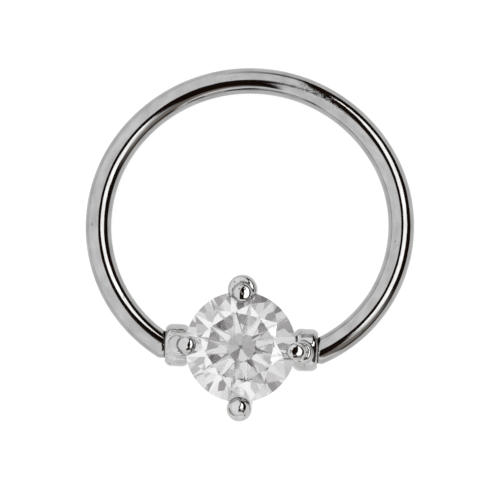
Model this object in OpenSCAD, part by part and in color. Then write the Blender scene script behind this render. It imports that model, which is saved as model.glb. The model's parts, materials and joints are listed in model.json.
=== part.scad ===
// Captive body ring with a gem head. A sprung loop of round wire is left open by the length of
// the head. Its two domed ends sit in dimples in the ends of a four-prong setting, which holds a
// round brilliant stone and can turn between them.
// The piece lies on its side, as it would by itself: the setting's barrel and the far side of the
// loop touch the plane z = 0, and the stone faces up. X runs along the barrel, and Y from the head
// to the far side of the loop. The origin is the middle of the outline, on that plane.

/* [Wire loop] */
// Diameter of the wire
wire_d = 1.2; // [1.1:0.05:1.3]
// From the barrel's axis to the middle of the wire at the far side of the loop
loop_reach = 12.39; // [12.2:0.01:12.6]
// Bend radius of the wire's middle line round the far side
far_bend_r = 7.11; // [7:0.01:7.2]
// How far the far bend is off to the right of the head
loop_shift = 0.18; // [0:0.01:0.25]

/* [Barrel] */
// Length between the two end faces
barrel_len = 7.14; // [6.9:0.02:7.3]
// Diameter of the cups at its two ends
barrel_d = 1.96; // [1.8:0.02:2.1]
// Length of a cup
cup_len = 1.2; // [1.1:0.05:1.5]
// Diameter of the waist between the cups
waist_d = 1.5; // [1.4:0.05:1.7]
// Rounding of a cup's edges
shoulder_r = 0.36; // [0.15:0.01:0.4]
// Diameter of a dimple's mouth
dimple_mouth_d = 1.6; // [1.55:0.05:1.65]
// Depth of a dimple
dimple_depth = 0.58; // [0.5:0.02:0.64]
// Gap between a wire end and the bottom of its dimple
dimple_gap = 0.06; // [0.04:0.01:0.1]

/* [Prongs] */
// Height of the girdle's middle above the barrel's axis
girdle_h = 2.6; // [2.4:0.05:3]
// Height of the claws' tops above the girdle's middle
claw_h = 0.95; // [0.9:0.05:1.1]
// How far the posts' tops lie below the claws' tops
post_drop = 0.1; // [0.1:0.01:0.3]
// Bend radius where a claw folds in over the stone
claw_bend_r = 0.65; // [0.62:0.01:0.8]
// Bend radius where a cross strut turns up into its post
strut_bend_r = 1.2; // [1:0.05:1.4]
// Depth of the cross struts' middle below the barrel's axis
strut_drop = 0.3; // [0.2:0.02:0.32]
// Gap between the stone and its seat
seat_gap = 0.04; // [0.03:0.01:0.08]

/* [Stone] */
// Diameter of the girdle
stone_d = 5.04; // [4.9:0.02:5.1]
// Table width from corner to corner, over the stone's diameter
table_share = 0.63; // [0.54:0.01:0.66]
// Angle of the bezel facets to the girdle plane
crown_angle = 34; // [32:0.5:36]
// Angle of the pavilion mains to the girdle plane
pavilion_angle = 40.8; // [40:0.1:41.6]
// Thickness of the girdle at its thick places
girdle_t = 0.16; // [0.14:0.01:0.2]
// Diameter of the culet
culet_d = 0.18; // [0.1:0.02:0.3]
// How far the facets are turned from the barrel's axis
stone_turn = 12; // [0:1:45]

/* [Hidden] */
$fn = 64;

STEEL = [0.72, 0.72, 0.73];
CLEAR = [0.9, 0.93, 0.96, 0.6];

wire_r = wire_d / 2;
barrel_r = barrel_d / 2;
waist_r = waist_d / 2;
stone_r = stone_d / 2;

// Each wire end is a dome, whose middle lies on the barrel's axis just outside the end face. It
// is a little blunter than a half ball, which leaves a fine edge round it.
dome_r = wire_r + 0.02;
end_x = barrel_len / 2 - dimple_depth + dimple_gap + dome_r;
dimple_mouth_r = dimple_mouth_d / 2;
dimple_r = (pow(dimple_mouth_r, 2) + pow(dimple_depth, 2)) / (2 * dimple_depth);

// One row for each prong: its angle from +X, whether it stands on a cross strut, the middle of its
// post out from the stone's middle, the post's radius, the same for the claw, and the claw's fold
PRONG_TURN = 0;
PRONG_STRUT = 1;
POST_OUT = 2;
POST_R = 3;
CLAW_OUT = 4;
CLAW_R = 5;
CLAW_FOLD = 6;
PRONGS = [
    [-3, false, 2.80, 0.48, 2.76, 0.38, 55],
    [90, true, 2.63, 0.64, 2.62, 0.46, 45],
    [180, false, 2.80, 0.50, 2.76, 0.38, 64],
    [271, true, 2.82, 0.57, 2.78, 0.46, 25],
];
front_reach = PRONGS[3][POST_OUT] + PRONGS[3][POST_R];

// Heights in the stone's own frame, from the middle of the girdle
girdle_top = girdle_t / 2;
table_r = stone_r * table_share;
table_z = girdle_top + (stone_r - table_r) * tan(crown_angle);
culet_r = culet_d / 2;
culet_z = -girdle_top - (stone_r - culet_r) * tan(pavilion_angle);
// How far in from the girdle the star facets reach, and the lower girdle facets, as shares
STAR_REACH = 0.5;
LOWER_HALF_REACH = 0.78;
SIDES = 8;
STEP = 360 / SIDES;
GIRDLE_PER_STEP = 8;

// Cutting planes give each height from the distance out along the plane's own bearing
function bezel_z(out) = girdle_top + (stone_r - out) * tan(crown_angle);
function main_z(out) = -girdle_top - (stone_r - out) * tan(pavilion_angle);
function polar(radius, angle, z) = [radius * cos(angle), radius * sin(angle), z];

// Star points, where two bezels and two upper girdle facets meet
star_r = table_r * cos(STEP / 2) + STAR_REACH * (stone_r - table_r * cos(STEP / 2));
star_z = bezel_z(star_r * cos(STEP / 2));
// Lower points, where two mains and two lower girdle facets meet
lower_r = stone_r * (1 - LOWER_HALF_REACH);
lower_z = main_z(lower_r * cos(STEP / 2));

// The far bend spans this bearing from +Y to each side, and passes into the side bends there.
// Its sine and cosine are short decimals, which keeps the ends that meet exactly alike.
BEND_SIN = 0.8432;
BEND_COS = 0.5376;
bend_bearing = atan2(BEND_SIN, BEND_COS);

// These give the right half of the loop. The left half is one with the other shift, turned over.
function far_centre(shift) = [shift, loop_reach - far_bend_r];
// The side bend's radius is the one that brings its middle line to the barrel's axis at end_x
function side_bend_r(shift) =
    let (
        back = far_centre(shift) - [end_x, 0],
        along = back * [BEND_SIN, BEND_COS],
        radius = (back * back + 2 * far_bend_r * along + pow(far_bend_r, 2))
            / (2 * (along + far_bend_r))
    )
    round(radius * 1000) / 1000;
function side_centre(shift) =
    far_centre(shift) + (far_bend_r - side_bend_r(shift)) * [BEND_SIN, BEND_COS];
// How far the side bend turns until it meets the barrel's axis
function side_turn(shift) =
    let (to_end = [end_x, 0] - side_centre(shift))
    atan2(to_end.x, to_end.y) - bend_bearing;
function side_edge(shift) = side_centre(shift).x + side_bend_r(shift) + wire_r;

// The whole piece is tipped so that barrel and far wire rest on one plane
loop_tilt = asin((barrel_r - wire_r) / loop_reach);
far_edge = loop_reach * cos(loop_tilt) + wire_r;
head_place = [
    (side_edge(-loop_shift) - side_edge(loop_shift)) / 2,
    (front_reach - far_edge) / 2,
    barrel_r,
];

// A half ball on the plane z = 0, with its pole up
module half_ball(radius) {
    rotate_extrude()
        intersection() {
            circle(radius);
            square(radius);
        }
}

// A bent round bar in the XY plane about the origin, from one angle to another
module bent_bar(bend_r, radius, from, to) {
    rotate([0, 0, from])
        rotate_extrude(angle = to - from, $fn = 128)
            translate([bend_r, 0])
                circle(radius, $fn = 32);
}

// The bend round the far side, about the origin
module far_bend() {
    reach = far_bend_r + wire_d;
    intersection() {
        rotate_extrude($fn = 128)
            translate([far_bend_r, 0])
                circle(wire_r, $fn = 32);
        linear_extrude(height = 2 * wire_d, center = true)
            polygon([
                [0, 0],
                [2 * reach * BEND_SIN, 2 * reach * BEND_COS],
                [0, 4 * reach],
                [-2 * reach * BEND_SIN, 2 * reach * BEND_COS],
            ]);
    }
}

// What lies past a wire end that points along +X, outside its dome
module past_dome() {
    block = 4 * wire_r;
    difference() {
        translate([0, -block / 2, -block / 2])
            cube(block);
        sphere(dome_r);
    }
}

// The bend down the right side, in the far bend's frame, from the far bend to the dome
module side_bend(shift) {
    radius = side_bend_r(shift);
    turn = side_turn(shift);
    dome_turn = 2 * dome_r / radius * 180 / PI;
    rotate([0, 0, -bend_bearing])
        translate([0, far_bend_r - radius, 0])
            difference() {
                rotate([0, 180, 0])
                    bent_bar(radius, wire_r, 90, 90 + turn + dome_turn);
                rotate([0, 0, -turn])
                    translate([0, radius, 0])
                        past_dome();
            }
}

module ring() {
    color(STEEL)
        translate(head_place)
            rotate([-loop_tilt, 0, 0])
                translate([loop_shift, loop_reach - far_bend_r, 0]) {
                    far_bend();
                    side_bend(loop_shift);
                    rotate([0, 180, 0])
                        side_bend(-loop_shift);
                }
}

// Half the outline of a cup with rounded edges, about its middle
module cup_outline() {
    translate([0, -cup_len / 2])
        square([barrel_r - shoulder_r, cup_len]);
    translate([0, shoulder_r - cup_len / 2])
        square([barrel_r, cup_len - 2 * shoulder_r]);
    for (side = [-1, 1])
        translate([barrel_r - shoulder_r, side * (cup_len / 2 - shoulder_r)])
            circle(shoulder_r);
}

// The barrel's outline is turned about its axis: a cup at each end, and the waist between them
module barrel() {
    rotate([0, 90, 0])
        rotate_extrude() {
            translate([0, (cup_len - barrel_len) / 2])
                square([waist_r, barrel_len - cup_len]);
            for (side = [-1, 1])
                translate([0, side * (barrel_len - cup_len) / 2])
                    cup_outline();
        }
}

module dimples() {
    for (side = [-1, 1])
        translate([side * (barrel_len / 2 - dimple_depth + dimple_r), 0, 0])
            sphere(dimple_r);
}

// A prong that stands out along +X: its post with a domed top, and the strut that carries it
module post(row) {
    out = row[POST_OUT];
    radius = row[POST_R];
    foot = row[PRONG_STRUT] ? strut_bend_r - strut_drop : 0;
    top = girdle_h + claw_h - post_drop - radius;
    if (row[PRONG_STRUT]) {
        translate([0, 0, -strut_drop])
            rotate([0, 90, 0])
                cylinder(h = out - strut_bend_r, r = radius);
        translate([out - strut_bend_r, 0, foot])
            rotate([90, 0, 0])
                bent_bar(strut_bend_r, radius, -90, 0);
    }
    translate([out, 0, foot])
        cylinder(h = top - foot, r = radius);
    translate([out, 0, top])
        half_ball(radius);
}

// The slimmer claw that comes out of the post's top and folds over the stone
module claw(row) {
    out = row[CLAW_OUT];
    radius = row[CLAW_R];
    fold = row[CLAW_FOLD];
    foot = girdle_h;
    bend_z = girdle_h + claw_h - radius - claw_bend_r * sin(fold);
    if (bend_z > foot)
        translate([out, 0, foot])
            cylinder(h = bend_z - foot, r = radius);
    translate([out - claw_bend_r, 0, bend_z]) {
        rotate([90, 0, 0])
            bent_bar(claw_bend_r, radius, 0, fold);
        translate([claw_bend_r * cos(fold), 0, claw_bend_r * sin(fold)])
            rotate([0, -fold, 0])
                half_ball(radius);
    }
}

// The room that the stone takes out of the prongs and the barrel
module seat() {
    room_r = stone_r + seat_gap;
    rotate_extrude()
        polygon([
            [0, culet_z - seat_gap],
            [culet_r, culet_z - seat_gap],
            [lower_r, lower_z - seat_gap],
            [room_r, -girdle_top - seat_gap],
            [room_r, girdle_top + seat_gap],
            [star_r, star_z + seat_gap],
            [table_r, table_z + seat_gap],
            [0, table_z + seat_gap],
        ]);
}

module setting() {
    color(STEEL)
        translate(head_place)
            difference() {
                union() {
                    barrel();
                    for (row = PRONGS)
                        rotate([0, 0, row[PRONG_TURN]]) {
                            post(row);
                            claw(row);
                        }
                }
                translate([0, 0, girdle_h])
                    seat();
                dimples();
            }
}

// The plane of a girdle facet holds an inner point and the girdle's ends of one half step. Its
// height follows from the distance out along the bearing of the half step's middle.
HALF = STEP / 2;
function girdle_facet_z(inner_r, inner_z, edge_z, offset) =
    let (
        chord_out = stone_r * cos(HALF / 2),
        inner_out = inner_r * cos(HALF / 2),
        out = stone_r * cos(offset - HALF / 2)
    )
    edge_z + (inner_z - edge_z) * (chord_out - out) / (chord_out - inner_out);

GIRDLE_N = SIDES * GIRDLE_PER_STEP;
GIRDLE_STEP = 360 / GIRDLE_N;
function in_half(i) = (i % (GIRDLE_PER_STEP / 2)) * GIRDLE_STEP;

TABLE = [for (k = [0 : SIDES - 1]) polar(table_r, k * STEP, table_z)];
STARS = [for (k = [0 : SIDES - 1]) polar(star_r, (k + 0.5) * STEP, star_z)];
UPPER = [for (i = [0 : GIRDLE_N - 1])
    polar(stone_r, i * GIRDLE_STEP, girdle_facet_z(star_r, star_z, girdle_top, in_half(i)))];
LOWER = [for (i = [0 : GIRDLE_N - 1])
    polar(stone_r, i * GIRDLE_STEP, girdle_facet_z(lower_r, lower_z, -girdle_top, in_half(i)))];
POINTS = [for (k = [0 : SIDES - 1]) polar(lower_r, (k + 0.5) * STEP, lower_z)];
CULET = [for (k = [0 : SIDES - 1]) polar(culet_r / cos(HALF), (k + 0.5) * STEP, culet_z)];

// Where each of these lists starts in the list of all points
stars_at = SIDES;
upper_at = 2 * SIDES;
lower_at = upper_at + GIRDLE_N;
points_at = lower_at + GIRDLE_N;
culet_at = points_at + SIDES;

function wrap(i, n) = (i + n) % n;
function upper(i) = upper_at + wrap(i, GIRDLE_N);
function lower(i) = lower_at + wrap(i, GIRDLE_N);
function star(k) = stars_at + wrap(k, SIDES);
function point(k) = points_at + wrap(k, SIDES);
function culet(k) = culet_at + wrap(k, SIDES);

module stone() {
    q = GIRDLE_PER_STEP / 2;
    faces = [
        [for (k = [SIDES - 1 : -1 : 0]) k],
        for (k = [0 : SIDES - 1]) [k, wrap(k + 1, SIDES), star(k)],
        for (k = [0 : SIDES - 1]) [k, star(k), upper(2 * q * k), star(k - 1)],
        for (k = [0 : SIDES - 1], h = [0, 1])
            [star(k), for (i = [q : -1 : 0]) upper(2 * q * k + h * q + i)],
        for (i = [0 : GIRDLE_N - 1]) [upper(i), upper(i + 1), lower(i + 1), lower(i)],
        for (k = [0 : SIDES - 1], h = [0, 1])
            [point(k), for (i = [0 : q]) lower(2 * q * k + h * q + i)],
        for (k = [0 : SIDES - 1]) [lower(2 * q * k), point(k), culet(k), culet(k - 1), point(k - 1)],
        [for (k = [0 : SIDES - 1]) culet_at + k],
    ];
    color(CLEAR)
        translate(head_place + [0, 0, girdle_h])
            rotate([0, 0, stone_turn])
                polyhedron(concat(TABLE, STARS, UPPER, LOWER, POINTS, CULET), faces);
}

ring();
setting();
stone();
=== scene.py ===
"""Looks of a captive ring: a polished wire loop that holds a four-prong gem head by its ends.

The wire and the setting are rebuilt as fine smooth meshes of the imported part's own form, because
a mirror finish shows every facet. Lengths here are in millimetres until a mesh is made.
"""
import json
import math
from collections import namedtuple

import bmesh
import bpy
import numpy as np
from mathutils import Matrix, Vector


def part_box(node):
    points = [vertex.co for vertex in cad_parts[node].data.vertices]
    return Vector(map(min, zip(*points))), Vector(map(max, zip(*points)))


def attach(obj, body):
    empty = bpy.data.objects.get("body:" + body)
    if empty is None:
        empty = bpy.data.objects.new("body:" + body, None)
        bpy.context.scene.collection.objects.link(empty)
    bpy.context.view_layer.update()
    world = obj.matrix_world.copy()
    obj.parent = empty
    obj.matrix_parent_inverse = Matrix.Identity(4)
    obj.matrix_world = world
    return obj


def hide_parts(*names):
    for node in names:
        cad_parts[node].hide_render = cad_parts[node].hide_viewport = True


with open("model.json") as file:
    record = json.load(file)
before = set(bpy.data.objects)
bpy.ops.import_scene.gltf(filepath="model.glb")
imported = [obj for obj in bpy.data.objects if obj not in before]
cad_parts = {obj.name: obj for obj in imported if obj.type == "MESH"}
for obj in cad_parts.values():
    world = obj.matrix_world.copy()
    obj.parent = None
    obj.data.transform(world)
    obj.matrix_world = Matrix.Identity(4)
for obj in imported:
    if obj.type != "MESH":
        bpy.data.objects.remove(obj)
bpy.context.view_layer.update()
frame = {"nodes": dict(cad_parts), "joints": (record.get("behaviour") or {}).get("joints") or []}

MM = 0.001

# The head's frame: the middle of the barrel's axis, which the joint gives
HEAD = np.array(frame["joints"][0]["pos_m"]) / MM

# Wire loop, with the sizes that the part was built from
WIRE_R = 0.6
LOOP_REACH = 12.39
FAR_BEND_R = 7.11
LOOP_SHIFT = 0.18
# Direction from the far bend's centre to where the right side bend begins
BEND_AT = np.array([0.8432, 0.5376])
DOME_OVER = 0.02
DOME_R = WIRE_R + DOME_OVER

# Barrel
BARREL_R = 0.98
BARREL_LEN = 7.14
CUP_LEN = 1.2
WAIST_R = 0.75
SHOULDER_R = 0.36
DIMPLE_MOUTH_R = 0.8
DIMPLE_DEPTH = 0.58
DIMPLE_GAP = 0.06
END_X = BARREL_LEN / 2 - DIMPLE_DEPTH + DIMPLE_GAP + DOME_R

# Prongs
GIRDLE_H = 2.6
CLAW_H = 0.95
CLAW_BEND_R = 0.65
STRUT_BEND_R = 1.2
STRUT_DROP = 0.3
SEAT_GAP = 0.04
# Each prong is a post on the barrel or on a cross strut, with a claw that leans over the stone
# from its top. turn is its angle from +X, and the outs are measured from the stone's middle. The
# claw's top stands over the post's by step. Both ends are filed flat: the claw by claw_cut, on a
# slope of file_x and file_y, and the post by post_cut, on a slope of POST_FILE_X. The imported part
# has no such flats, and its prongs differ from these by up to 0.1 and 5 degrees.
Prong = namedtuple(
    "Prong", "turn on_strut post_out post_r post_cut claw_out claw_r fold step claw_cut file_x file_y"
)
PRONGS = [
    Prong(357, False, 2.80, 0.48, 0.24, 2.76, 0.39, 55, 0.20, 0.12, 0.10, 0.0),
    Prong(90, True, 2.615, 0.68, 0.24, 2.62, 0.46, 45, 0.16, 0.10, 0.16, 0.1),
    Prong(180, False, 2.80, 0.50, 0.10, 2.74, 0.42, 60, 0.12, 0.05, -0.06, 0.0),
    Prong(271, True, 2.82, 0.57, 0.10, 2.78, 0.45, 20, 0.12, 0.0, 0.0, 0.0),
]
POST_FILE_X = -0.1

# Stone, by its radii and heights from the middle of the girdle
STONE_R = 2.52
TABLE_SHARE = 0.63
LOWER_SHARE = 0.22
CULET_R = 0.09
GIRDLE_TOP = 0.08
CROWN_ANGLE = 34
PAVILION_ANGLE = 40.8
MAIN_FACETS = 8
TABLE_R = STONE_R * TABLE_SHARE
CROWN_SLOPE = math.tan(math.radians(CROWN_ANGLE))
PAVILION_SLOPE = math.tan(math.radians(PAVILION_ANGLE))
HALF_STEP = math.cos(math.radians(180 / MAIN_FACETS))
STAR_R = (STONE_R + TABLE_R * HALF_STEP) / 2
LOWER_R = STONE_R * LOWER_SHARE

# Points nearer than this, in metres, are one point
WELD_DIST = 2e-7


# Mesh helpers
def new_object(name, data):
    """A new object in the scene."""
    made = bpy.data.objects.new(name, data)
    bpy.context.scene.collection.objects.link(made)
    return made


def mesh_piece(name, verts, faces):
    """A new mesh object from points in millimetres in the row frame."""
    mesh = bpy.data.meshes.new(name)
    mesh.from_pydata((np.asarray(verts) * MM).tolist(), [], faces)
    mesh.update()
    return new_object(name, mesh)


def weld(piece):
    """Joins points that fall together, such as those at a pole, and turns all faces outward."""
    shape = bmesh.new()
    shape.from_mesh(piece.data)
    bmesh.ops.remove_doubles(shape, verts=shape.verts, dist=WELD_DIST)
    bmesh.ops.recalc_face_normals(shape, faces=shape.faces)
    shape.to_mesh(piece.data)
    shape.free()
    piece.data.shade_smooth()


def point_attribute(piece, name, kind, key, values):
    """Gives each point of the mesh a value of the kind, which holds it under the key."""
    attribute = piece.data.attributes.new(name, kind, "POINT")
    attribute.data.foreach_set(key, np.asarray(values, np.float32).ravel())


# Wire loop
RING_SIDES = 72
FAR_STEPS = 110
SIDE_STEPS = 90
DOME_STEPS = 14


def outward(bearing):
    """Direction of a bearing in the loop's plane, from +Y toward +X."""
    return np.array([math.sin(bearing), math.cos(bearing)])


def side_bend(far_centre):
    """Centre and radius of the right side bend in the loop's plane, with the head at the origin."""
    back = far_centre - [END_X, 0]
    along = back @ BEND_AT
    radius = (back @ back + 2 * FAR_BEND_R * along + FAR_BEND_R**2) / (2 * (along + FAR_BEND_R))
    return far_centre + (FAR_BEND_R - radius) * BEND_AT, radius


def half_loop(shift):
    """Stations of the right half from the far side to the pole of the dome: place, heading, radius."""
    far_centre = np.array([shift, LOOP_REACH - FAR_BEND_R])
    side_centre, side_r = side_bend(far_centre)
    turn = math.atan2(*BEND_AT)
    last = math.atan2(END_X - side_centre[0], -side_centre[1])
    bends = [
        (far_centre, FAR_BEND_R, np.linspace(0, turn, FAR_STEPS, endpoint=False)),
        (side_centre, side_r, np.linspace(turn, last, SIDE_STEPS)),
    ]
    rows = [
        (centre + bend_r * outward(bearing), bearing, WIRE_R)
        for centre, bend_r, bearings in bends
        for bearing in bearings
    ]
    end = rows[-1][0]
    heading = np.array([math.cos(last), -math.sin(last)])
    for polar in np.linspace(math.asin(WIRE_R / DOME_R), 0, DOME_STEPS):
        rows.append((end + DOME_R * math.cos(polar) * heading, last, DOME_R * math.sin(polar)))
    return rows


def loop_stations():
    left = half_loop(-LOOP_SHIFT)
    mirrored = [(place * [-1, 1], -bearing, radius) for place, bearing, radius in reversed(left)]
    return mirrored + half_loop(LOOP_SHIFT)[1:]


def build_ring():
    tilt = math.asin((BARREL_R - WIRE_R) / LOOP_REACH)
    lean = np.array(Matrix.Rotation(-tilt, 3, "X"))
    around = np.linspace(0, 2 * math.pi, RING_SIDES, endpoint=False)
    out, up = np.cos(around), np.sin(around)
    verts, unrolled = [], []
    length = 0
    stations = loop_stations()
    last_place = stations[0][0]
    for place, bearing, radius in stations:
        length += math.dist(place, last_place)
        last_place = place
        circle = np.outer(out, np.append(outward(bearing), 0)) + np.outer(up, [0, 0, 1])
        verts.append((np.append(place, 0) + radius * circle) @ lean.T + HEAD)
        unrolled.append(np.column_stack([np.full(RING_SIDES, length), radius * out, radius * up]))
    unrolled = np.vstack(unrolled) - [length / 2, 0, 0]
    faces = []
    for i in range(len(stations) - 1):
        for j in range(RING_SIDES):
            k = (j + 1) % RING_SIDES
            a, b = i * RING_SIDES, (i + 1) * RING_SIDES
            faces.append((a + j, a + k, b + k, b + j))
    piece = mesh_piece("wire_ring", np.vstack(verts), faces)
    point_attribute(piece, "unrolled", "FLOAT_VECTOR", "vector", unrolled)
    weld(piece)
    return piece


# Distance fields, for points in the head's frame. These are the widths over which shapes blend.
SOLDER = 0.16
CREASE = 0.06
FILE_EDGE = 0.12
CUP_FOOT = 0.1
SEAT_EDGE = 0.04
RIM_EDGE = 0.05


def soft_min(a, b, width):
    overlap = np.maximum(width - np.abs(a - b), 0) / width
    return np.minimum(a, b) - overlap * overlap * width / 4


def soft_max(a, b, width):
    return -soft_min(-a, -b, width)


def round_bar(p, start, end, radius):
    axis = np.subtract(end, start)
    share = np.clip((p - start) @ axis / (axis @ axis), 0, 1)
    return np.linalg.norm(p - start - share[:, None] * axis, axis=1) - radius


def bent_bar(p, centre, bend_r, first, last, radius):
    """A round bar bent in the XZ plane, from one angle to another, with ball ends."""
    x, y, z = (p - centre).T
    angle = np.arctan2(z, x)
    angle = np.where(angle < first - math.pi / 2, angle + 2 * math.pi, angle)
    angle = np.clip(angle, first, last)
    dx = x - bend_r * np.cos(angle)
    dz = z - bend_r * np.sin(angle)
    return np.sqrt(dx * dx + y * y + dz * dz) - radius


def turned(p, angle):
    """The points as seen in a frame that is turned by the angle about +Z."""
    c, s = math.cos(angle), math.sin(angle)
    return np.column_stack([p[:, 0] * c + p[:, 1] * s, p[:, 1] * c - p[:, 0] * s, p[:, 2]])


def filed(shape, p, row, tip, reach, slope):
    """Cuts a shape's end flat, at the distance reach from tip along the slope's normal."""
    normal = turned(np.array([slope + (1.0,)]), math.radians(row.turn))[0]
    flat = (p - tip) @ normal / np.linalg.norm(normal) - reach
    return soft_max(shape, flat, FILE_EDGE)


def claw(p, row):
    fold = math.radians(row.fold)
    top = GIRDLE_H + CLAW_H - row.claw_r
    foot = top - CLAW_BEND_R * math.sin(fold)
    bar = bent_bar(p, (row.claw_out - CLAW_BEND_R, 0, foot), CLAW_BEND_R, 0, fold, row.claw_r)
    if not row.claw_cut:
        return bar
    tip = (row.claw_out - CLAW_BEND_R * (1 - math.cos(fold)), 0, top)
    return filed(bar, p, row, tip, row.claw_r - row.claw_cut, (row.file_x, row.file_y))


def post(p, row):
    foot = STRUT_BEND_R - STRUT_DROP if row.on_strut else 0
    tip = (row.post_out, 0, GIRDLE_H + CLAW_H - row.step - row.post_r)
    bar = round_bar(p, (row.post_out, 0, foot), tip, row.post_r)
    if row.on_strut:
        reach = row.post_out - STRUT_BEND_R
        strut = round_bar(p, (0, 0, -STRUT_DROP), (reach, 0, -STRUT_DROP), row.post_r)
        bend = bent_bar(p, (reach, 0, foot), STRUT_BEND_R, -math.pi / 2, 0, row.post_r)
        bar = np.minimum(bar, np.minimum(strut, bend))
    return filed(bar, p, row, tip, row.post_r - row.post_cut, (POST_FILE_X, 0))


def post_and_claw(p, row):
    p = turned(p, math.radians(row.turn))
    return post(p, row), claw(p, row)


def barrel(p):
    rho = np.hypot(p[:, 1], p[:, 2])
    cup_middle = (BARREL_LEN - CUP_LEN) / 2
    across = rho - (BARREL_R - SHOULDER_R)
    along = np.abs(np.abs(p[:, 0]) - cup_middle) - (CUP_LEN / 2 - SHOULDER_R)
    outside = np.hypot(np.maximum(across, 0), np.maximum(along, 0))
    cups = outside + np.minimum(np.maximum(across, along), 0) - SHOULDER_R
    waist = np.maximum(rho - WAIST_R, np.abs(p[:, 0]) - cup_middle)
    return soft_min(cups, waist, CUP_FOOT)


def half_plane(rho, z, a, b):
    """Distance past the line from a to b in the radius and height plane, to its right side."""
    dx, dz = b[0] - a[0], b[1] - a[1]
    return ((rho - a[0]) * dz - (z - a[1]) * dx) / math.hypot(dx, dz)


def bezel_z(out):
    return GIRDLE_TOP + (STONE_R - out) * CROWN_SLOPE


def main_z(out):
    return -GIRDLE_TOP - (STONE_R - out) * PAVILION_SLOPE


def seat(p):
    """The room of the stone, with the stone's girdle at GIRDLE_H."""
    rho = np.hypot(p[:, 0], p[:, 1])
    z = p[:, 2] - GIRDLE_H
    room_r = STONE_R + SEAT_GAP
    outline = [
        (CULET_R, main_z(CULET_R) - SEAT_GAP),
        (LOWER_R, main_z(LOWER_R * HALF_STEP) - SEAT_GAP),
        (room_r, -GIRDLE_TOP - SEAT_GAP),
        (room_r, GIRDLE_TOP + SEAT_GAP),
        (STAR_R, bezel_z(STAR_R * HALF_STEP) + SEAT_GAP),
        (TABLE_R, bezel_z(TABLE_R) + SEAT_GAP),
    ]
    sides = [half_plane(rho, z, a, b) for a, b in zip(outline, outline[1:])]
    return np.max(sides, axis=0)


def dimples(p):
    radius = (DIMPLE_MOUTH_R**2 + DIMPLE_DEPTH**2) / (2 * DIMPLE_DEPTH)
    x = BARREL_LEN / 2 - DIMPLE_DEPTH + radius
    return np.sqrt((np.abs(p[:, 0]) - x) ** 2 + p[:, 1] ** 2 + p[:, 2] ** 2) - radius


def metal(p):
    """Barrel and prongs less the stone's room and the dimples, flat where the struts rest."""
    d = barrel(p)
    for row in PRONGS:
        d = soft_min(d, soft_min(*post_and_claw(p, row), CREASE), SOLDER)
    d = soft_max(d, -seat(p), SEAT_EDGE)
    d = soft_max(d, -dimples(p), RIM_EDGE)
    return np.maximum(d, -BARREL_R - p[:, 2])


# How far from a crease its painted shade reaches
SEAM_REACH = 0.08


def seams(p):
    """One in the creases between barrel, posts and claws, and nought away from them."""
    body = np.abs(barrel(p))
    off = np.full(len(p), SEAM_REACH)
    for row in PRONGS:
        upright, tip = (np.abs(part) for part in post_and_claw(p, row))
        off = np.minimum(off, np.minimum(np.maximum(upright, tip), np.maximum(upright, body)))
    return 1 - off / SEAM_REACH


# Surface of a distance field, with the side of its cells, the step for slopes, and how many times
# its points are moved onto the field's zero
CELL = 0.045
GRADIENT_STEP = 0.002
SETTLE_STEPS = 4
CORNERS = [(i, j, k) for i in (0, 1) for j in (0, 1) for k in (0, 1)]


def gradient(field, p):
    slopes = []
    for axis in np.eye(3):
        shift = axis * GRADIENT_STEP
        slopes.append((field(p + shift) - field(p - shift)) / (2 * GRADIENT_STEP))
    return np.column_stack(slopes)


def field_values(field, axes):
    """The field at each point of a grid, one slab at a time."""
    y, z = np.meshgrid(axes[1], axes[2], indexing="ij")
    values = np.empty([len(a) for a in axes], np.float32)
    for i, x in enumerate(axes[0]):
        slab = np.column_stack([np.full(y.size, x), y.ravel(), z.ravel()])
        values[i] = field(slab).reshape(y.shape)
    return values


def crossing_means(values, cells):
    """For each cell, the mean of where the surface crosses its edges, from its low corner."""
    at = {c: values[tuple((cells + c).T)] for c in CORNERS}
    total = np.zeros((len(cells), 3))
    crossings = np.zeros(len(cells))
    for a in CORNERS:
        for axis in range(3):
            if a[axis]:
                continue
            b = tuple(n + (i == axis) for i, n in enumerate(a))
            cut = (at[a] < 0) != (at[b] < 0)
            share = at[a][cut] / (at[a][cut] - at[b][cut])
            spot = np.tile(np.array(a, float), (len(share), 1))
            spot[:, axis] += share
            total[cut] += spot
            crossings[cut] += 1
    return total / crossings[:, None]


def crossing_faces(inside, ids):
    """A face round each edge that the surface crosses, from the points of the four cells there."""
    units = np.eye(3, dtype=int)
    faces = []
    for axis in range(3):
        step, u, v = units[axis], units[(axis + 1) % 3], units[(axis + 2) % 3]
        ends = [slice(None, n - s) for n, s in zip(inside.shape, step)]
        nexts = [slice(s, None) for s in step]
        edges = np.argwhere(inside[tuple(ends)] != inside[tuple(nexts)])
        quad = np.stack([ids[tuple((edges - shift).T)] for shift in (u + v, v, 0 * u, u)], axis=1)
        outside = ~inside[tuple(edges.T)]
        quad[outside] = quad[outside][:, ::-1]
        faces.append(quad)
    return np.vstack(faces)


def field_mesh(field, low, high):
    """Points and faces of the field's zero surface, by surface nets."""
    values = field_values(field, [np.arange(a, b + CELL, CELL) for a, b in zip(low, high)])
    inside = values < 0
    nx, ny, nz = (n - 1 for n in values.shape)
    count = sum(inside[i:i + nx, j:j + ny, k:k + nz].astype(np.int8) for i, j, k in CORNERS)
    cells = np.argwhere((count > 0) & (count < len(CORNERS)))
    ids = np.full((nx, ny, nz), -1)
    ids[tuple(cells.T)] = np.arange(len(cells))
    points = low + CELL * (cells + crossing_means(values, cells))
    for _ in range(SETTLE_STEPS):
        slope = gradient(field, points)
        points = points - (field(points) / (slope * slope).sum(1))[:, None] * slope
    return points, crossing_faces(inside, ids)


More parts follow.
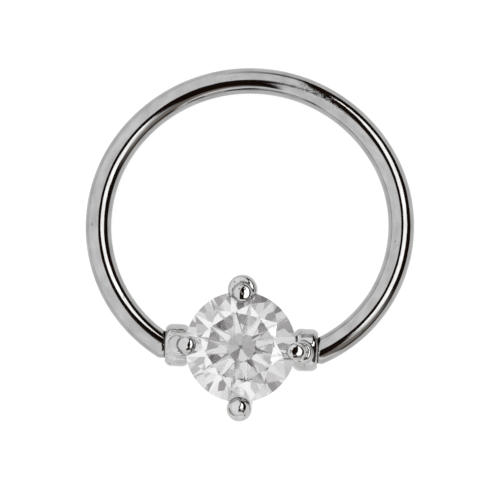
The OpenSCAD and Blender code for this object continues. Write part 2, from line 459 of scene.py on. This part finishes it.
def build_setting():
    low, high = (np.array(corner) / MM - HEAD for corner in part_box("setting"))
    margin = 2 * CELL
    points, faces = field_mesh(metal, low - margin, high + margin)
    piece = mesh_piece("prong_setting", points + HEAD, faces.tolist())
    weld(piece)
    points = np.array([vertex.co for vertex in piece.data.vertices]) / MM - HEAD
    slope = gradient(metal, points)
    normals = slope / np.linalg.norm(slope, axis=1)[:, None]
    piece.data.normals_split_custom_set_from_vertices(normals.tolist())
    # The seams carry the painted shade of the creases
    point_attribute(piece, "seams", "FLOAT", "value", seams(points))
    return piece


# Node helpers
def node(tree, kind, inputs=None, **settings):
    """A new node with its settings and inputs set; an input may be a value or another's output."""
    made = tree.nodes.new(kind)
    for key, value in settings.items():
        setattr(made, key, value)
    for key, value in (inputs or {}).items():
        if isinstance(value, bpy.types.NodeSocket):
            tree.links.new(value, made.inputs[key])
        else:
            made.inputs[key].default_value = value
    return made


def math_node(tree, operation, a, b=0.0, c=0.0):
    return node(tree, "ShaderNodeMath", {0: a, 1: b, 2: c}, operation=operation).outputs[0]


def vector_node(tree, operation, a, b=(0, 0, 0)):
    """The outputs Vector and Value of a vector operation."""
    return node(tree, "ShaderNodeVectorMath", {0: a, 1: b}, operation=operation).outputs


def product(tree, *shares):
    whole = shares[0]
    for share in shares[1:]:
        whole = math_node(tree, "MULTIPLY", whole, share)
    return whole


def ramp(tree, value, low, high, to_low=0.0, to_high=1.0):
    return node(tree, "ShaderNodeMapRange", {
        "Value": value, "From Min": low, "From Max": high, "To Min": to_low, "To Max": to_high,
    }).outputs[0]


def mix(tree, share, a, b):
    return node(tree, "ShaderNodeMix", {"Factor": share, "A": a, "B": b}, data_type="RGBA").outputs[2]


# A noise's frequency along X against the other two axes, its scale, and its detail
Pattern = namedtuple("Pattern", "along scale detail")


def noise(tree, place, pattern):
    place = vector_node(tree, "MULTIPLY", place, (pattern.along, 1, 1))["Vector"]
    return node(tree, "ShaderNodeTexNoise", {
        "Vector": place, "Scale": pattern.scale, "Detail": pattern.detail,
    }).outputs["Fac"]


def new_material(name):
    material = bpy.data.materials.new(name)
    material.use_nodes = True
    material.node_tree.nodes.clear()
    return material


def principled(tree, inputs):
    shader = node(tree, "ShaderNodeBsdfPrincipled", inputs)
    node(tree, "ShaderNodeOutputMaterial", {"Surface": shader.outputs[0]})


def steel_shader(tree, tone, roughness, height, depth=1.0):
    """A polished metal with a bump. A height of one stands for depth, in millimetres."""
    bump = node(tree, "ShaderNodeBump", {"Height": height, "Distance": depth * MM, "Strength": 1.0})
    principled(tree, {
        "Base Color": tone,
        "Metallic": 1.0,
        "Roughness": roughness,
        "Normal": bump.outputs[0],
    })


# Both steels: the colour and added roughness of pits, and the grain's limits for the roughness. The
# pits' colour is also the setting's painted shade in its creases.
# Here and below, a pair of limits is where a mark begins and where it is full.
PIT_AND_CREASE_SHADE = (0.07, 0.06, 0.054, 1)
PIT_ROUGHNESS = 0.25
GRAIN_LIMITS = (0.3, 0.7)

# Wire: its tones, and its patterns along the unrolled wire
WIRE_DARK = (0.30, 0.298, 0.296, 1)
WIRE_LIGHT = (0.40, 0.398, 0.396, 1)
WIRE_TONE_LIMITS = (0.45, 0.85)
WIRE_ROUGHNESS = (0.02, 0.07)
WIRE_CLOUD = Pattern(0.5, 2.4, 3.0)
WIRE_GRAIN = Pattern(1, 30.0, 3.0)
WIRE_LINES = Pattern(0.05, 16.0, 2.0)
WIRE_SPECKS = Pattern(0.6, 5.0, 3.0)
SPECK_LIMITS = (0.70, 0.74)
# Strength of a speck against a pit, and share of the pits' colour in a full pit
SPECK_SHARE = 0.5
PIT_SHARE = 0.85
# The grain's part in the tone and in the height, and the drawn lines' depth
GRAIN_IN_TONE = 0.3
GRAIN_IN_HEIGHT = 0.25
LINE_DEPTH = 0.0012
# The wire was scuffed on a stretch, where its polish is ragged and has dark pits. These are its
# middle and half its length along the wire from the middle of the far bend, and the same across
# the wire, outward. The core is the share of a half in which the scuff is full.
SCUFF_AT, SCUFF_HALF = 2.9, 2.0
SCUFF_OUT, SCUFF_WIDE = 0.12, 0.3
SCUFF_CORE = 0.3
SCUFF_TEARS = Pattern(0.4, 9.0, 4.0)
TEAR_LIMITS = (0.58, 0.66)
# Depth of the tears against the drawn lines
TEAR_HEIGHT = 6.0


def scuffed(tree, value, middle, half):
    """One at the scuff's middle, and nought from half away."""
    off = math_node(tree, "ABSOLUTE", math_node(tree, "SUBTRACT", value, middle))
    return ramp(tree, off, half, half * SCUFF_CORE)


def wire_steel():
    """Drawn and polished wire: fine lines along it, a cloudy grain, and a scuffed stretch."""
    material = new_material("wire_steel")
    tree = material.node_tree
    place = node(tree, "ShaderNodeAttribute", attribute_name="unrolled").outputs["Vector"]
    split = node(tree, "ShaderNodeSeparateXYZ", {0: place}).outputs
    grain = noise(tree, place, WIRE_GRAIN)
    tears = noise(tree, place, SCUFF_TEARS)
    scuff = product(
        tree,
        scuffed(tree, split["X"], SCUFF_AT, SCUFF_HALF),
        scuffed(tree, split["Y"], SCUFF_OUT, SCUFF_WIDE),
    )
    pits = product(tree, scuff, ramp(tree, tears, *TEAR_LIMITS))
    specks = ramp(tree, noise(tree, place, WIRE_SPECKS), *SPECK_LIMITS)
    pits = math_node(tree, "MAXIMUM", pits, product(tree, specks, SPECK_SHARE))
    cloud = math_node(tree, "MULTIPLY_ADD", grain, GRAIN_IN_TONE, noise(tree, place, WIRE_CLOUD))
    tone = mix(tree, ramp(tree, cloud, *WIRE_TONE_LIMITS), WIRE_DARK, WIRE_LIGHT)
    tone = mix(tree, product(tree, pits, PIT_SHARE), tone, PIT_AND_CREASE_SHADE)
    polish = ramp(tree, grain, *GRAIN_LIMITS, *WIRE_ROUGHNESS)
    roughness = math_node(tree, "MULTIPLY_ADD", pits, PIT_ROUGHNESS, polish)
    lines = noise(tree, place, WIRE_LINES)
    lines = math_node(tree, "MULTIPLY_ADD", grain, GRAIN_IN_HEIGHT, lines)
    height = math_node(tree, "ADD", lines, product(tree, scuff, tears, TEAR_HEIGHT))
    steel_shader(tree, tone, roughness, height, LINE_DEPTH)
    return material


# Setting: its tones and patterns, and the heights of its waves, pits and grain
CAST_DARK = (0.40, 0.398, 0.396, 1)
CAST_LIGHT = (0.49, 0.488, 0.485, 1)
CAST_TONE_LIMITS = (0.35, 0.65)
CAST_ROUGHNESS = (0.02, 0.06)
CAST_CLOUD = Pattern(1, 2.0, 3.0)
CAST_GRAIN = Pattern(1, 22.0, 2.0)
CAST_PITS = Pattern(1, 6.0, 3.0)
CAST_WAVES = Pattern(1, 3.2, 1.6)
PIT_LIMITS = (0.65, 0.71)
WAVE_DEPTH = 0.022
PIT_DEPTH = 0.012
GRAIN_DEPTH = 0.0004
# Painted shade lies in the creases in patches
SEAM_LIMITS = (0.3, 0.8)
CREASE_SHADE_PATCHES = Pattern(1, 2.2, 3.0)
PATCH_LIMITS = (0.50, 0.56)
SHADE_MARK_ROUGHNESS = 0.3
# Brownish painted shadow in the gap round the wire, by its limits along the barrel and out from the
# barrel's axis
WIRE_GAP_SHADOW = (0.075, 0.035, 0.02, 1)
MOUTH_ALONG = (BARREL_LEN / 2 - 0.16, BARREL_LEN / 2 - 0.06)
MOUTH_OUT = (DIMPLE_MOUTH_R + 0.06, DIMPLE_MOUTH_R - 0.04)


def setting_steel():
    """Cast and polished steel with a few pits, painted shade in creases and painted shadow round the
    wire.
    """
    material = new_material("setting_steel")
    tree = material.node_tree
    place = node(tree, "ShaderNodeTexCoord").outputs["Object"]
    place = vector_node(tree, "MULTIPLY", place, (1 / MM, 1 / MM, 1 / MM))["Vector"]
    place = vector_node(tree, "SUBTRACT", place, HEAD.tolist())["Vector"]
    along = node(tree, "ShaderNodeSeparateXYZ", {0: place}).outputs["X"]
    along = math_node(tree, "ABSOLUTE", along)
    across = vector_node(tree, "MULTIPLY", place, (0, 1, 1))["Vector"]
    rho = vector_node(tree, "LENGTH", across)["Value"]
    # Painted shadow at the dimples' mouths, where the wire goes in
    mouth = product(tree, ramp(tree, along, *MOUTH_ALONG), ramp(tree, rho, *MOUTH_OUT))
    grain = noise(tree, place, CAST_GRAIN)
    pits = ramp(tree, noise(tree, place, CAST_PITS), *PIT_LIMITS)
    patches = ramp(tree, noise(tree, place, CREASE_SHADE_PATCHES), *PATCH_LIMITS)
    # Painted shade: darkens the creases between barrel, posts and claws, in patches
    seam = node(tree, "ShaderNodeAttribute", attribute_name="seams").outputs["Fac"]
    seam = product(tree, ramp(tree, seam, *SEAM_LIMITS), patches)
    cloud = noise(tree, place, CAST_CLOUD)
    tone = mix(tree, ramp(tree, cloud, *CAST_TONE_LIMITS), CAST_DARK, CAST_LIGHT)
    # Pits, and the painted shade in the creases, darken the tone
    tone = mix(tree, math_node(tree, "MAXIMUM", pits, seam), tone, PIT_AND_CREASE_SHADE)
    # Brownish painted shadow in the gap round the wire
    tone = mix(tree, mouth, tone, WIRE_GAP_SHADOW)
    polish = ramp(tree, grain, *GRAIN_LIMITS, *CAST_ROUGHNESS)
    # The painted shade's spots, in the creases and round the wire, are also rougher
    shade_marks = math_node(tree, "MAXIMUM", mouth, seam)
    roughness = math_node(tree, "MULTIPLY_ADD", shade_marks, SHADE_MARK_ROUGHNESS, polish)
    height = product(tree, grain, GRAIN_DEPTH)
    height = math_node(tree, "MULTIPLY_ADD", noise(tree, place, CAST_WAVES), WAVE_DEPTH, height)
    height = math_node(tree, "MULTIPLY_ADD", pits, -PIT_DEPTH, height)
    steel_shader(tree, tone, roughness, height)
    return material


# Stone
STONE_TINT = (0.985, 0.985, 0.99, 1)
STONE_ROUGHNESS = 0.035
STONE_IOR = 2.16


def cubic_zirconia():
    material = new_material("cubic_zirconia")
    principled(material.node_tree, {
        "Base Color": STONE_TINT,
        "Roughness": STONE_ROUGHNESS,
        "IOR": STONE_IOR,
        "Transmission Weight": 1.0,
    })
    return material


# Camera, over the object as in the photograph, by its place from the head's middle
CAMERA_AT = (2.983, -1.770, 170.0)
CAMERA_AIM = (-0.078, 4.508, 0)
CAMERA_ROLL = math.radians(2.18)
LENS = 265.05
CLIP_START = 1.0


def add_camera():
    camera = new_object("camera", bpy.data.cameras.new("camera"))
    at, aim = (Vector(place + HEAD) * MM for place in (CAMERA_AT, CAMERA_AIM))
    back = (at - aim).normalized()
    right = Vector((0, 1, 0)).cross(back).normalized()
    right = Matrix.Rotation(CAMERA_ROLL, 3, back) @ right
    up = back.cross(right)
    camera.matrix_world = Matrix.Translation(at) @ Matrix((right, up, back)).transposed().to_4x4()
    camera.data.lens = LENS
    camera.data.clip_start = CLIP_START * MM
    bpy.context.scene.camera = camera


# Studio: a pale tent on the left, a soft box over the right, and a dark room beyond them. Its
# edges are turned a little from the object's own axes. All but the soft box is infinitely far, and
# is placed by the parts of a direction: to the side and along in the turned studio, back to +Y, up.
STUDIO_TURN = math.radians(-12)
ACROSS = (math.cos(STUDIO_TURN), math.sin(STUDIO_TURN), 0)
ALONG = (-math.sin(STUDIO_TURN), math.cos(STUDIO_TURN), 0)
TENT = (1.42, 1.42, 1.43, 1)
ROOM = (0.018, 0.009, 0.005, 1)
# What shows behind the floor's far edge
BACKDROP = (1, 1, 1, 1)
# The tent's edge runs over the object, past the zenith, and bows out at the front and the back,
# which begin and are full at these parts toward +Y
TENT_EDGE = -0.06
TENT_BLUR = 0.02
TENT_FRONT, TENT_FRONT_BOW = (-0.05, -0.3), 0.055
TENT_BACK, TENT_BACK_BOW = (0, 0.5), 0.10
# The tent doesn't reach the ground at the back. These are the gap's height there, where it closes
# and is full, by the distance toward the tent's dark side, and how dark it is.
GAP_HEIGHT = 0.35
GAP_BLUR = 0.05
GAP_CLOSED, GAP_FULL = -0.5, -0.1
GAP_DEPTH = 0.8
# A low pale card stands in front, over this much of the way to -Y
CARD_EDGE = 0.80
CARD_BLUR = 0.03
# The stone is lit by more cards than the metal shows: a soft mixture of these, seen through it
STONE_DARK = (0.19, 0.172, 0.182, 1)
STONE_LIGHT = (0.95, 0.95, 0.955, 1)
STONE_CLOUD = Pattern(1, 1.8, 4.0)
STONE_LIMITS = (0.34, 0.59)
CLOUD_SHIFT = (3.2, -1.2, 4.8)
# The soft box is level. These are its sides over its height, from the zenith.
BOX_NEAR, BOX_FAR = 0.35, 1.15
BOX_LOW, BOX_HIGH = -0.2, 1.5
BOX_HEIGHT = 400
BOX_RADIANCE = 2.6
# Past its low side the box's light fades out, as far as this and round a dark disc. Both are given
# by their sides over their height too, which is at least LEAST_UP.
GLOW_END, GLOW_SIDE = -0.75, 1.3
GLOW_BLUR = 0.2
GLOW_POWER = 1.5
GLOW = (2.2, 2.2, 2.2, 1)
DISC_AT = (0.13, -0.58, 0)
DISC_R = 0.46
DISC_BLUR = 0.04
LEAST_UP = 0.01
# A dim wall stands at the front right. These are its limits to the side and along, and its foot
# and top. Under its foot it is darker still, but toward the right this share of it shows there.
WALL = (0.42, 0.37, 0.33, 1)
WALL_SIDE = (0.05, 0.2)
WALL_ALONG = (-0.1, -0.3)
WALL_FOOT, WALL_TOP = 0.32, 0.70
WALL_BLUR = 0.04
WALL_RIGHT, WALL_BELOW = (0.5, 0.95), 0.3


def pale_share(tree, side, back, up):
    """Share of the tent and the front card toward a direction."""
    bow = math_node(
        tree, "ADD",
        ramp(tree, back, *TENT_FRONT, 0, TENT_FRONT_BOW), ramp(tree, back, *TENT_BACK, 0, TENT_BACK_BOW),
    )
    over = math_node(tree, "SUBTRACT", side, bow)
    tent = ramp(tree, over, TENT_EDGE + TENT_BLUR, TENT_EDGE - TENT_BLUR)
    gap = product(
        tree,
        ramp(tree, up, GAP_HEIGHT + GAP_BLUR, GAP_HEIGHT - GAP_BLUR),
        ramp(tree, side, GAP_CLOSED, GAP_FULL, 0, GAP_DEPTH),
        ramp(tree, back, *TENT_BACK),
    )
    tent = math_node(tree, "SUBTRACT", tent, gap)
    card = ramp(tree, back, -CARD_EDGE, -CARD_EDGE - CARD_BLUR)
    return math_node(tree, "MAXIMUM", tent, card)


def glow_share(tree, side, along, up):
    """Share of the soft box's glow toward a direction."""
    height = math_node(tree, "MAXIMUM", up, LEAST_UP)
    x, y = (math_node(tree, "DIVIDE", part, height) for part in (side, along))
    spot = node(tree, "ShaderNodeCombineXYZ", {0: x, 1: y}).outputs[0]
    off = vector_node(tree, "DISTANCE", spot, DISC_AT)["Value"]
    return product(
        tree,
        math_node(tree, "POWER", ramp(tree, y, GLOW_END, BOX_LOW), GLOW_POWER),
        math_node(tree, "LESS_THAN", y, BOX_LOW),
        ramp(tree, x, GLOW_SIDE, GLOW_SIDE - GLOW_BLUR),
        ramp(tree, off, DISC_R - DISC_BLUR, DISC_R + DISC_BLUR),
    )


def wall_share(tree, side, along, up):
    """Share of the dim wall toward a direction."""
    below = ramp(tree, side, *WALL_RIGHT, 0, WALL_BELOW)
    return product(
        tree,
        ramp(tree, side, *WALL_SIDE),
        ramp(tree, along, *WALL_ALONG),
        ramp(tree, up, WALL_TOP + WALL_BLUR, WALL_TOP - WALL_BLUR),
        ramp(tree, up, WALL_FOOT - WALL_BLUR, WALL_FOOT + WALL_BLUR, below),
    )


def add_world():
    world = bpy.data.worlds.new("studio")
    world.use_nodes = True
    tree = world.node_tree
    tree.nodes.clear()
    toward = node(tree, "ShaderNodeTexCoord").outputs["Generated"]
    side = vector_node(tree, "DOT_PRODUCT", toward, ACROSS)["Value"]
    along = vector_node(tree, "DOT_PRODUCT", toward, ALONG)["Value"]
    split = node(tree, "ShaderNodeSeparateXYZ", {0: toward}).outputs
    back, up = split["Y"], split["Z"]
    around_metal = mix(tree, wall_share(tree, side, along, up), ROOM, WALL)
    around_metal = mix(tree, glow_share(tree, side, along, up), around_metal, GLOW)
    around_metal = mix(tree, pale_share(tree, side, back, up), around_metal, TENT)
    moved = vector_node(tree, "ADD", toward, CLOUD_SHIFT)["Vector"]
    cloud = ramp(tree, noise(tree, moved, STONE_CLOUD), *STONE_LIMITS)
    through_stone = mix(tree, cloud, STONE_DARK, STONE_LIGHT)
    path = node(tree, "ShaderNodeLightPath").outputs
    light = mix(tree, path["Is Transmission Ray"], around_metal, through_stone)
    light = mix(tree, path["Is Camera Ray"], light, BACKDROP)
    shader = node(tree, "ShaderNodeBackground", {"Color": light})
    node(tree, "ShaderNodeOutputWorld", {"Surface": shader.outputs[0]})
    bpy.context.scene.world = world


def add_soft_box():
    light = bpy.data.lights.new("soft_box", "AREA")
    light.shape = "RECTANGLE"
    light.size = (BOX_FAR - BOX_NEAR) * BOX_HEIGHT * MM
    light.size_y = (BOX_HIGH - BOX_LOW) * BOX_HEIGHT * MM
    light.energy = BOX_RADIANCE * light.size * light.size_y * math.pi
    soft_box = new_object("soft_box", light)
    middle = Vector(((BOX_NEAR + BOX_FAR) / 2, (BOX_LOW + BOX_HIGH) / 2, 1)) * BOX_HEIGHT * MM
    turn = Matrix.Rotation(STUDIO_TURN, 4, "Z")
    soft_box.matrix_world = turn @ Matrix.Translation(middle)
    soft_box.visible_camera = False
    soft_box.visible_transmission = False


# Floor: half its side, its colour, and the light that it gives off
FLOOR_HALF = 3000
FLOOR_TONE = (0.25, 0.25, 0.25, 1)
FLOOR_ROUGHNESS = 0.9
FLOOR_LIGHT = (1, 1, 1, 1)
FLOOR_STRENGTH = 0.85


def add_floor():
    corners = [(x * FLOOR_HALF, y * FLOOR_HALF, 0) for x, y in ((-1, -1), (1, -1), (1, 1), (-1, 1))]
    floor = mesh_piece("floor", corners, [(0, 1, 2, 3)])
    material = new_material("floor")
    principled(material.node_tree, {
        "Base Color": FLOOR_TONE,
        "Roughness": FLOOR_ROUGHNESS,
        "Specular IOR Level": 0.0,
        "Emission Color": FLOOR_LIGHT,
        "Emission Strength": FLOOR_STRENGTH,
    })
    floor.data.materials.append(material)


add_camera()
add_world()
add_soft_box()
add_floor()

wire_ring = build_ring()
wire_ring.data.materials.append(wire_steel())
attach(wire_ring, "ring")
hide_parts("ring")

setting = build_setting()
setting.data.materials.append(setting_steel())
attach(setting, "head")
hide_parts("setting")

stone = frame["nodes"]["stone"]
stone.data.materials.clear()
stone.data.materials.append(cubic_zirconia())

bpy.context.scene.view_settings.view_transform = "Standard"
